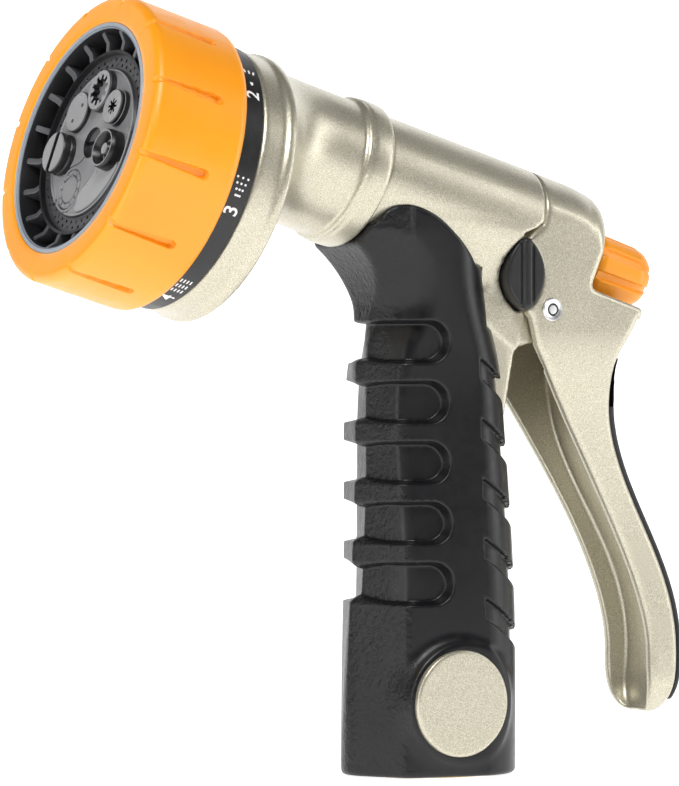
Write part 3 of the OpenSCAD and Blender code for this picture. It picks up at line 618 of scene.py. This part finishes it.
def lever_field(x, y, z):
    s, drop = along(x, z), below(x, z)
    side = np.abs(y)
    half = handle_half(z)
    outline = polygon(x, z, LEVER_SIDE)
    blank = smax(outline, side - half, 1.5)
    round_r = curve(s, [TAIL_S, SADDLE_S - 3, SADDLE_S + 1, SADDLE_S + 6], [11.4, 12.7, 13.7, BARREL_R])
    round_r = round_r + 3 * smoothstep(drop, -3, 5)
    blank = smax(blank, np.hypot(np.minimum(drop, 0), y) - round_r, 0.5)
    hollow = smax(polygon(x, z, HANDLE_HOLLOW), side - half + WALL, 1.6)
    solid = smax(blank, -hollow, 0.7)
    inside = np.minimum(np.hypot(drop, y) - (BARREL_R - WALL), np.maximum(-drop, side - EAR_IN))
    inside = np.maximum(np.maximum(inside, side - EAR_IN), np.maximum(SADDLE_S - s, drop - 26.5))
    solid = smax(solid, -inside, 0.3)
    knob_room = np.maximum(np.maximum(side - KNOB_R - 1, drop - LEDGE_DROP), s - SADDLE_S + SADDLE_T)
    solid = smax(solid, -knob_room, 0.5)
    stem_room = np.maximum(np.hypot(np.maximum(drop, 0), y) - 2.7, -drop - 7.4)
    solid = np.maximum(solid, -stem_room)
    solid = np.maximum(solid, -(lens(x, z, GAP)))
    return np.maximum(solid, 2.05 - np.hypot(x - PIN_X, z - PIN_Z))


PAD_LINE = handle_back(0)
PAD_BACK = [p for p in PAD_LINE if PIN_Z - 83 < p[1] < PIN_Z - 9]
PAD_OUTLINE = PAD_BACK + [p for p in handle_back(PAD_T + 0.6)[::-1] if PIN_Z - 83 < p[1] < PIN_Z - 9]


def pad_field(x, y, z):
    half = handle_half(z) - 0.9
    body = smax(polygon(x, z, PAD_OUTLINE), np.abs(y) - half, 1.2)
    return np.maximum(body, -lever_field(x, y, z) + 0.02)


def lock_field(sign, face):
    def field(x, y, z):
        side = sign * y
        plate = smax(lens(x, z), np.abs(side - face + 1.9) - 1.9, 0.5)
        if sign < 0:
            return plate
        rib = smax(smax(np.abs(x - LOCK_X + 0.2) - 1.0, np.abs(z - LOCK_Z) - LOCK_HALF + 0.3, 0.6),
                   np.abs(side - face + 0.4) - 1.0, 0.7)
        trough = np.maximum(np.abs(np.abs(x - LOCK_X + 0.2) - 1.45) - 0.25, face - 0.35 - side)
        return smin(smax(plate, -trough, 0.2), rib, 0.25)
    return field


def build_body():
    sculpt("body_shell", body_field, (-32.5, -16.5, -1), (24, 16.5, 137.5), 0.5, "body",
           "champagne_paint", PAINT,
           "body_casting")
    sculpt("neck_shell", neck_field, (11, -28.5, 85), (66, 28.5, 149), 0.5, "body", "champagne_paint", PAINT,
           "front_neck")
    sculpt("rubber_grip", grip_field, (-18, -18, -1), (30, 18, 119), 0.36, "body", "black_rubber", RUBBER,
           "grip_sleeve")


def build_trigger():
    sculpt("trigger_shell", lever_field, (-60, -14.2, 8.5), (-12, 14.2, 127), 0.42, "trigger",
           "champagne_paint", PAINT,
           "trigger_lever")
    sculpt("trigger_pad", pad_field, (-61, -10, 10), (-36, 10, 88), 0.4, "trigger", "black_rubber",
           RUBBER, "lever_pad")
    sculpt("lock_face", lock_field(1, BARREL_R), (LOCK_X - 6, 8, LOCK_Z - 9),
           (LOCK_X + 6, 16, LOCK_Z + 9), 0.22,
           "lock", "black_plastic", BLACK, "lock_button")
    sculpt("lock_face_far", lock_field(-1, BARREL_R - 3), (LOCK_X - 6, -13, LOCK_Z - 9),
           (LOCK_X + 6, -5, LOCK_Z + 9),
           0.22, "lock", "black_plastic", BLACK, "lock_button_far")


# ---- head ----
RING_R, RING_LEN, RING_S = 29.6, 21.1, 60.8
TRIM_R = RING_R - 5.75
GROOVES = 12
GROOVE_TURN = 8.4 / 30
HEAD = (-HEAD_DROP, 0.0)
FACE_S = RING_S + RING_LEN
PLATE_S = FACE_S - 3.5
STEP = 2 * math.pi / 7
PITCH_R = 10.5


def ring_radius(angle, i, places, radii):
    r = radii[i] + 0 * angle
    s = places[i] - RING_S
    if radii[i] < RING_R - 1.8:
        return r
    turn = (angle / (2 * math.pi) * GROOVES - GROOVE_TURN + 0.5) % 1.0
    arc = np.abs(turn - 0.5) * 2 * math.pi / GROOVES * RING_R
    # a wedge that widens and deepens towards its round rear end
    half = 0.5 + 0.5 * np.clip((20.5 - s) / 13.5, 0, 1)
    outline = np.hypot(arc, max(7.2 - s, 0)) - half
    depth = 0.5 + 0.6 * min(max((20.5 - s) / 13.5, 0), 1)
    wedge = depth * smoothstep(-outline, -0.06, 0.26)
    notch = 0.9 * (1 - smoothstep(arc, 0.35, 0.75)) * smoothstep(s, 19.6, 20.6)
    return r - np.maximum(wedge, notch)


def build_ring():
    out = [(RING_S, RING_R - 3.6), (RING_S, RING_R - 1.4), (RING_S + 0.25, RING_R - 0.7),
           (RING_S + 0.8, RING_R - 0.2)]
    out += [(RING_S + 1.6 + 0.3 * i, RING_R) for i in range(56)]
    edge = 1.7
    for a in range(0, 91, 10):
        t = math.radians(a)
        out.append((RING_S + RING_LEN - edge + edge * math.sin(t), RING_R - edge + edge * math.cos(t)))
    out += [(RING_S + RING_LEN, r) for r in (RING_R - 3.0, RING_R - 4.4, TRIM_R + 0.25)]
    out += [(RING_S + RING_LEN - 0.2, TRIM_R + 0.03), (RING_S + RING_LEN - 3, TRIM_R + 0.03),
            (RING_S + RING_LEN - 3, RING_R - 3.6)]
    places, radii = [p[0] for p in out], [p[1] for p in out]
    revolve("orange_ring", lambda a, i: ring_radius(a, i, places, radii), places, "selector",
            "orange_plastic",
            ORANGE, "selector_ring", centre=HEAD, count=1440, sharp=50)


def build_knob():
    front_s = SADDLE_S - SADDLE_T - 2.4 - 0.15 - 1.8
    length = 15.0
    out = [(front_s, 0.0), (front_s, KNOB_SKIN_R - 1.6), (front_s - 0.5, KNOB_SKIN_R - 0.5),
           (front_s - 1.5, KNOB_SKIN_R)]
    out += [(front_s - 1.5 - 0.4 * i, KNOB_SKIN_R - 0.012 * i) for i in range(1, 22)]
    for a in range(0, 91, 5):
        t = math.radians(a)
        out.append((front_s - length + 4.6 - 4.6 * math.sin(t), KNOB_SKIN_R - 3.9 + 3.65 * math.cos(t)))
    out.append((front_s - length, 0.0))
    places, radii = [p[0] for p in out], [p[1] for p in out]

    def radius(angle, i):
        r = radii[i]
        lobes = 8
        turn = np.abs((angle / (2 * math.pi) * lobes) % 1.0 - 0.5) * 2
        valley = 1 - smoothstep(turn, 0.26, 0.42)
        return r + 0 * angle - 0.75 * valley * smoothstep(r, 2.0, KNOB_R - 1.0) * (i > 2)
    revolve("knob_skin", radius, places, "knob", "orange_plastic", ORANGE, "flow_knob", count=480, sharp=50)


def on_head(radius, angle):
    """A centre for revolve: a place on the head, angle 0 at the top."""
    return (radius * math.cos(angle) - HEAD_DROP, radius * math.sin(angle))


def turned(name, profile, body, slot, material, *replaced, hole=None, **kwargs):
    """A turned skin from a profile of (radius, place); hole(angle) widens its innermost points."""
    radii, places = [p[0] for p in profile], [p[1] for p in profile]
    inner = min(radii)

    def radius(angle, i):
        wave = hole(angle) if hole and radii[i] == inner else 0
        return radii[i] + wave + 0 * angle
    return revolve(name, radius, places, body, slot, material, *replaced, **kwargs)


def star(points, depth):
    """Teeth for a star hole: rounded lobes that reach out from the hole."""
    return lambda angle: depth * smoothstep(np.cos(angle * points), -0.55, 0.35)


def build_trim():
    r_out, r_in = TRIM_R, TRIM_R - 1.15
    front = FACE_S - 0.05
    profile = [(r_out, front - 2.9), (r_out, front - 0.15), (r_out - 0.12, front), (r_in + 0.34, front),
               (r_in + 0.28, front - 0.3), (r_in + 0.14, front - 0.3), (r_in + 0.1, front - 0.1),
               (r_in, front - 0.2),
               (r_in, front - 0.5), (r_in + 0.3, front - 0.6), (r_in + 0.3, front - 2.9)]
    turned("trim_skin", profile, "selector", "trim_plastic", TRIM, "trim_ring", centre=HEAD, sharp=35)


def build_liner():
    """Black wall behind the trim ring."""
    r_in = TRIM_R - 1.15
    turned("face_liner", [(r_in + 0.4, FACE_S - 0.6), (r_in + 0.05, FACE_S - 0.6),
                          (r_in - 0.05, FACE_S - 1.0),
                          (r_in - 0.05, FACE_S - 3.1), (r_in + 0.4, FACE_S - 3.1)],
           "selector", "black_plastic", BLACK, centre=HEAD, sharp=35)


def build_ribs():
    """Stepped ribs round the face, each with bevelled edges, over the housing's own."""
    count, foot = 20, PLATE_S - 3.2
    outline = [(18.6, foot), (23.0, foot), (23.0, FACE_S - 1.5), (22.3, FACE_S - 1.6), (20.9, FACE_S - 2.9),
               (19.2, FACE_S - 3.1), (18.6, FACE_S - 3.5)]
    mid = np.mean(outline, axis=0)
    sections = []
    for across, scale in ((-0.62, 0.90), (-0.45, 1.0), (0.45, 1.0), (0.62, 0.90)):
        sections.append([(across, *(mid + (np.array(p) - mid) * scale)) for p in outline])
    n = len(outline)
    verts, faces = [], []
    for k in range(count):
        turn = 2 * math.pi * (k + 0.5) / count
        base = len(verts)
        for section in sections:
            for across, r, s in section:
                up = r * math.cos(turn) - across * math.sin(turn) - HEAD_DROP
                side = r * math.sin(turn) + across * math.cos(turn)
                verts.append(barrel_to_world((up, side, s)))
        for j in range(3):
            for i in range(n):
                a, b = base + j * n + i, base + j * n + (i + 1) % n
                faces.append((a, b, b + n, a + n))
        faces.append(tuple(base + i for i in range(n))[::-1])
        faces.append(tuple(base + 3 * n + i for i in range(n)))
    obj = add_object("face_ribs", verts, faces, "selector", "black_plastic", RIB, sharp=40)
    weld(obj, 1e-9)


def plate_height(up, side):
    """Relief of the pattern plate: step, shower holes, screw recess, cam line, leaf and a ring of cells."""
    radius, angle = np.hypot(up, side), np.arctan2(side, up)
    height = -0.55 * smoothstep(radius, 15.2, 15.5)
    height = height + 0.5 * (1 - smoothstep(np.abs(radius - 15.0), 0.12, 0.3)) * 0.5
    for row, r_row in enumerate((16.3, 17.4)):
        pitch = 2 * math.pi / 48
        turn = (angle + row * pitch / 2) % pitch - pitch / 2
        height = height - 0.9 * (1 - smoothstep(np.hypot(turn * r_row, radius - r_row), 0.2, 0.3))
    height = height - 2.0 * (1 - smoothstep(radius, 2.95, 3.2))
    # ring of cells
    cu, cs = PITCH_R * math.cos(-3 * STEP), PITCH_R * math.sin(-3 * STEP)
    du, ds = up - cu, side - cs
    dr, da = np.hypot(du, ds), np.arctan2(ds, du)
    spoke = np.abs((da % (math.pi / 6)) - math.pi / 12) * dr
    lines = np.minimum(np.abs(dr - 4.1), np.abs(dr - 2.9))
    lines = np.where((dr > 2.9) & (dr < 4.1), np.minimum(lines, math.pi / 12 * dr - spoke), lines)
    height = height - 0.3 * (1 - smoothstep(lines, 0.09, 0.2))
    # cam line round it, with a tail that runs out to the edge
    cam = smin(dr - 4.9, np.hypot(up + 5.0, side - 1.2) - 3.4, 3.5)
    height = height - 0.3 * (1 - smoothstep(np.abs(cam), 0.08, 0.2)) * (radius < 15)
    # leaf between the cam and the edge
    leaf = np.maximum(np.hypot(up + 4.5, side - 3.5) - 10.2, 0.35 - cam)
    leaf = np.maximum(leaf, 3.9 - np.hypot(up - PITCH_R * math.cos(2 * STEP),
                                           side - PITCH_R * math.sin(2 * STEP)))
    leaf = np.maximum(np.maximum(leaf, up + 4.2 - 0.25 * side), 0.6 - side + 0.0 * up)
    height = height + 0.45 * smoothstep(-leaf, 0.0, 0.15) * (1 - smoothstep(radius, 14.5, 14.7))
    return height


def build_plate():
    step_r = 0.14
    radii = np.concatenate([[0.02], np.arange(0.4, 18.4, step_r), [18.45]])
    count = 900
    angle = np.arange(count) * 2 * math.pi / count
    up = radii[:, None] * np.cos(angle)
    side = radii[:, None] * np.sin(angle)
    height = plate_height(up, side)
    top = np.stack([up - HEAD_DROP, side, PLATE_S + height], -1).reshape(-1, 3)
    wall = np.stack([18.45 * np.cos(angle) - HEAD_DROP, 18.45 * np.sin(angle), PLATE_S - 2.9 + 0 * angle],
                    -1)
    verts = barrel_to_world(np.concatenate([top, wall]))
    k = np.arange(count)
    faces = []
    for i in range(len(radii)):
        a, b = i * count, (i + 1) * count
        faces.append(np.stack([a + k, b + k, b + (k + 1) % count, a + (k + 1) % count], -1))
    obj = add_object("plate_relief", verts, np.concatenate(faces).tolist() + [tuple(range(count))[::-1]],
                     "selector",
                     "grey_plastic", RELIEF, "pattern_plate")
    obj.data.set_sharp_from_angle(angle=math.radians(60))


def build_inserts():
    base = PLATE_S - 0.5
    common = ("selector", "grey_plastic", FACE)
    top = PLATE_S + 1.5
    turned("star_boss", [(4.35, base), (4.35, top - 0.3), (4.05, top), (3.3, top), (2.3, top - 0.12),
                         (2.3, base)],
           *common, "jet_insert", hole=star(10, 0.85), centre=on_head(PITCH_R, 0), count=400, sharp=30)
    top = PLATE_S + 1.9
    turned("small_star_boss", [(3.7, base), (3.7, top - 0.9), (3.55, top - 0.85), (3.55, top - 0.2),
                               (3.35, top),
                               (1.9, top), (0.85, top - 0.1), (0.85, base)],
           *common, "cone_insert", hole=star(8, 0.75), centre=on_head(PITCH_R, STEP), count=320, sharp=30)
    top = PLATE_S + 2.8
    turned("ring_cup", [(4.1, base), (4.1, top - 1.0), (3.95, top - 0.3), (3.7, top), (3.45, top),
                        (3.2, top - 0.3),
                        (2.7, top - 2.0), (1.9, top - 2.3), (1.35, top - 0.8), (1.1, top - 0.55),
                         (0.0, top - 0.45)],
           *common, "mist_insert", centre=on_head(PITCH_R, 2 * STEP), count=200, sharp=30)
    top = PLATE_S + 0.95
    turned("twin_hole_disc", [(4.2, base), (4.2, top - 0.2), (4.0, top), (0.0, top)],
           *common, "angle_insert", centre=on_head(PITCH_R, -STEP), count=200, sharp=30)
    # two black discs stand for the holes: painted shade of the holes' dark insides
    for k, side in enumerate((-1, 1)):
        up, across = on_head(PITCH_R - 0.3, -STEP + side * 0.2)
        turned("twin_hole_%d" % k, [(0.42, top - 0.05), (0.42, top + 0.02), (0.0, top + 0.02)], "selector",
               "black_plastic", BLACK, centre=(up, across), count=24, sharp=30)
    build_slotted_disc()


def build_slotted_disc():
    """A tall round plug with a rounded rim, cut across by one wide slot."""
    cu, cs = on_head(PITCH_R, -2 * STEP)
    top = PLATE_S + 2.9

    def field(x, y, z):
        s, up, side = along(x, z), -below(x, z) - cu, y - cs
        r = np.hypot(up, side)
        plug = smax(r - 4.3, np.abs(s - top + 2.6) - 2.6, 0.7)
        ridge = np.abs(r - 4.35) + np.abs(s - top + 1.7) - 0.35
        slot = np.maximum(np.abs(side * 0.96 - up * 0.1) - 0.6, top - 2.6 - s)
        return smax(smax(plug, -ridge, 0.2), -slot, 0.15)
    x, z = on_side(top - 2.6, -cu)
    sculpt("slotted_disc", field, (x - 6, cs - 5, z - 6), (x + 6, cs + 5, z + 6), 0.2, "selector",
           "grey_plastic", FACE,
           "flat_insert")


# ---- index band: generic numbers and pictograms, no words ----
BAND_R, BAND_S = 27.6, 56.3 + 2.25


def band_place(along_band, across_band, angle, lift=0.05):
    """A place on the index band, from a label's own flat coordinates."""
    turn = angle - along_band / BAND_R
    return barrel_to_world(((BAND_R + lift) * math.cos(turn) - HEAD_DROP, (BAND_R + lift) * math.sin(turn),
                            BAND_S + across_band))


def disc_outline(x, y, r, count=14):
    return [(x + r * math.cos(2 * math.pi * k / count), y + r * math.sin(2 * math.pi * k / count))
            for k in range(count)]


def bar_outline(x0, y0, x1, y1, width):
    length = math.hypot(x1 - x0, y1 - y0)
    nx, ny = -(y1 - y0) / length * width / 2, (x1 - x0) / length * width / 2
    return [(x0 + nx, y0 + ny), (x0 - nx, y0 - ny), (x1 - nx, y1 - ny), (x1 + nx, y1 + ny)]


def pictogram(kind):
    """Outlines of a small spray sign, about 5 mm long."""
    if kind == 0:
        return [bar_outline(0, 0, 4.8, 0, 0.7)]
    if kind == 1:
        return [bar_outline(0, 0, 4.4, y, 0.4) for y in (-1.15, 0, 1.15)]
    if kind == 2:
        return [disc_outline(x, y * (0.35 + x * 0.2), 0.24) for x in (0.6, 1.8, 3.0, 4.2)
                for y in (-1, 0, 1)]
    if kind == 3:
        return [bar_outline(x, y, x + 1.0, y, 0.3) for x in (0.2, 1.9, 3.6)
                for y in (-1.1, -0.37, 0.37, 1.1)]
    if kind == 4:
        return [bar_outline(0, 0, 1.2, 0, 0.5), bar_outline(1.6, -1.3, 1.6, 1.3, 0.5),
                bar_outline(2.4, -1.3, 2.4, 1.3, 0.3)]
    if kind == 5:
        return [bar_outline(0, 0, 4.2, -1.1, 0.5), bar_outline(0, 0, 4.2, 1.1, 0.5)]
    return [disc_outline(x, y, 0.2) for x in (0.5, 1.3, 2.1, 2.9, 3.7) for y in (-1.0, -0.35, 0.35, 1.0)]


def build_labels():
    for k in range(7):
        angle = k * STEP
        verts, faces = [], []
        text = bpy.data.curves.new("numeral", "FONT")
        text.body = str(k + 1)
        text.size = 4.2
        text.offset = 0.06
        text.align_x = "CENTER"
        text.align_y = "CENTER"
        holder = bpy.data.objects.new("numeral", text)
        bpy.context.scene.collection.objects.link(holder)
        bpy.context.view_layer.update()
        flat = holder.to_mesh()
        verts = [band_place(v.co.x - 2.6, v.co.y, angle) for v in flat.vertices]
        faces = [tuple(p.vertices) for p in flat.polygons]
        holder.to_mesh_clear()
        bpy.data.objects.remove(holder)
        for outline in pictogram(k):
            base = len(verts)
            verts += [band_place(x, y, angle) for x, y in outline]
            faces.append(tuple(range(base, base + len(outline))))
        add_object("label_%d" % (k + 1), verts, faces, "selector", "trim_plastic", MARK)


# ---- small hardware ----
def across_pin(local):
    """Points given as (up, side, out) from the pivot pin's centre, in world metres."""
    up, side, out = np.moveaxis(np.asarray(local, float), -1, 0)
    return np.stack([PIN_X + side, out, PIN_Z + up], axis=-1) / MM


def build_pin():
    face = extent("pivot_pin", 1)[1]
    profile = [(2.4, face - 0.5), (2.4, face - 0.2), (2.25, face), (1.5, face), (1.35, face - 0.1),
               (1.3, face - 0.42), (1.0, face - 0.42), (0.9, face - 0.1), (0.0, face - 0.04)]
    shaft = [(0.0, -face + 0.55), (2.0, -face + 0.55), (2.0, face - 0.5)]
    turned("pin_head", shaft + profile, "body", "steel", CHROME, "pivot_pin", place=across_pin, count=120,
           sharp=35)
    # a black ring down in the pin head's groove: painted shade in the groove
    ring = [(1.36, face - 0.35), (1.36, face - 0.25), (0.94, face - 0.25), (0.94, face - 0.35)]
    turned("pin_groove_painted_shade", ring, "body", "black_plastic", BLACK, place=across_pin, count=90, sharp=35)


def badge_field(sign):

    def field(x, y, z):
        disc = np.hypot(x - BADGE_X, z - BADGE_Z) - 10.9
        side = sign * y
        front = side - BADGE_FACE if sign > 0 else grip_section(x, y, z) - 0.35
        return smax(disc, np.maximum(front, BADGE_FACE - 5.5 - side), 0.6)
    return field


def build_badges():
    for name, node, sign in (("badge_face", "badge_left", 1), ("badge_face_far", "badge_right", -1)):
        low, high = (11.0, 18.2) if sign > 0 else (-18.2, -11.0)
        sculpt(name, badge_field(sign), (BADGE_X - 12, low, BADGE_Z - 12),
               (BADGE_X + 12, high, BADGE_Z + 12), 0.35, "body", "champagne_paint", PAINT,
               node)


def finish_cad_nodes():
    """Gives every CAD node that still shows the procedural material of its slot."""
    slots = {part["node"]: part["material_slot"] for part in frame["record"]["subparts"]}
    for name, obj in frame["nodes"].items():
        obj.data.materials.clear()
        obj.data.materials.append(DARK_STEEL if name in ("centre_screw", "screw_washer")
                                  else BY_SLOT[slots[name]])
        obj.data.shade_smooth()
        obj.data.set_sharp_from_angle(angle=math.radians(32))


# ---- camera, light and floor ----
def build_stage():
    mat, tree, shader = new_material("floor", (0.93, 0.93, 0.93), 0.85)
    tree.links.new(ramp(tree, noise(tree, 3, 2), [(0.3, (0.92, 0.92, 0.92)), (0.7, (0.94, 0.94, 0.94))]),
                   shader.inputs["Base Color"])
    shader.inputs["Emission Color"].default_value = (1, 1, 1, 1)
    shader.inputs["Emission Strength"].default_value = 0.9
    size, bend, count = 3.0, 0.5, 24
    profile = [(-size, 0.0)] + [(size - bend + bend * math.sin(t), bend - bend * math.cos(t))
                                for t in (math.pi / 2 * i / count for i in range(count + 1))] + [
                                    (size, size)]
    view = np.array([-0.52054, -0.85379])
    across = np.array([-view[1], view[0]])
    verts, faces = [], []
    for away, up in profile:
        for side in (-size * 1.5, size * 1.5):
            place = view * away + across * side
            verts.append((place[0], place[1], up - 0.0002))
    for i in range(len(profile) - 1):
        faces.append((2 * i, 2 * i + 2, 2 * i + 3, 2 * i + 1))
    mesh = bpy.data.meshes.new("floor")
    mesh.from_pydata(verts, [], faces)
    mesh.shade_smooth()
    floor = bpy.data.objects.new("floor", mesh)
    mesh.materials.append(mat)
    bpy.context.scene.collection.objects.link(floor)


def add_light(name, place, aim, size, power, color=(1, 1, 1)):
    lamp = bpy.data.lights.new(name, "AREA")
    lamp.shape = "RECTANGLE"
    lamp.size, lamp.size_y = size
    lamp.energy = power
    lamp.color = color
    obj = bpy.data.objects.new(name, lamp)
    obj.location = place
    direction = Vector(aim) - Vector(place)
    obj.rotation_euler = direction.to_track_quat("-Z", "Y").to_euler()
    bpy.context.scene.collection.objects.link(obj)


# where the camera stands, in metres, and the way from the nozzle back to it
CAMERA_AT = (0.470251, 0.736105, 0.085732)
CAMERA_BACK = (0.52054, 0.85379, 0.00855)


def build_light_and_camera():
    world = bpy.data.worlds.new("studio")
    bpy.context.scene.world = world
    world.use_nodes = True
    tree = world.node_tree
    background = tree.nodes["Background"]
    coord = tree.nodes.new("ShaderNodeTexCoord")
    split = tree.nodes.new("ShaderNodeSeparateXYZ")
    tree.links.new(coord.outputs["Generated"], split.inputs[0])
    sky = spread(tree, split.outputs["Z"], 0.18, 0.85, -0.35, 0.7)
    tree.links.new(sky, background.inputs["Strength"])
    aim = (0.0, 0.0, 0.08)
    add_light("key", (0.35, 0.55, 0.85), aim, (0.6, 0.35), 7)
    add_light("left", (0.95, 0.1, 0.25), aim, (0.35, 0.9), 3.6)
    add_light("right", (-0.75, 0.45, 0.3), aim, (0.3, 0.8), 2.6)
    camera = bpy.data.cameras.new("camera")
    camera.sensor_width = 36
    camera.lens = 193.35
    camera.clip_start, camera.clip_end = 0.05, 20
    obj = bpy.data.objects.new("camera", camera)
    obj.location = CAMERA_AT
    back = Vector(CAMERA_BACK).normalized()
    obj.rotation_euler = back.to_track_quat("Z", "Y").to_euler()
    bpy.context.scene.collection.objects.link(obj)
    bpy.context.scene.camera = obj
    bpy.context.scene.view_settings.view_transform = "Standard"


build_light_and_camera()
build_stage()
finish_cad_nodes()
build_body()
build_trigger()
build_ring()
build_knob()
build_trim()
build_liner()
build_ribs()
build_plate()
build_inserts()
build_labels()
build_pin()
build_badges()
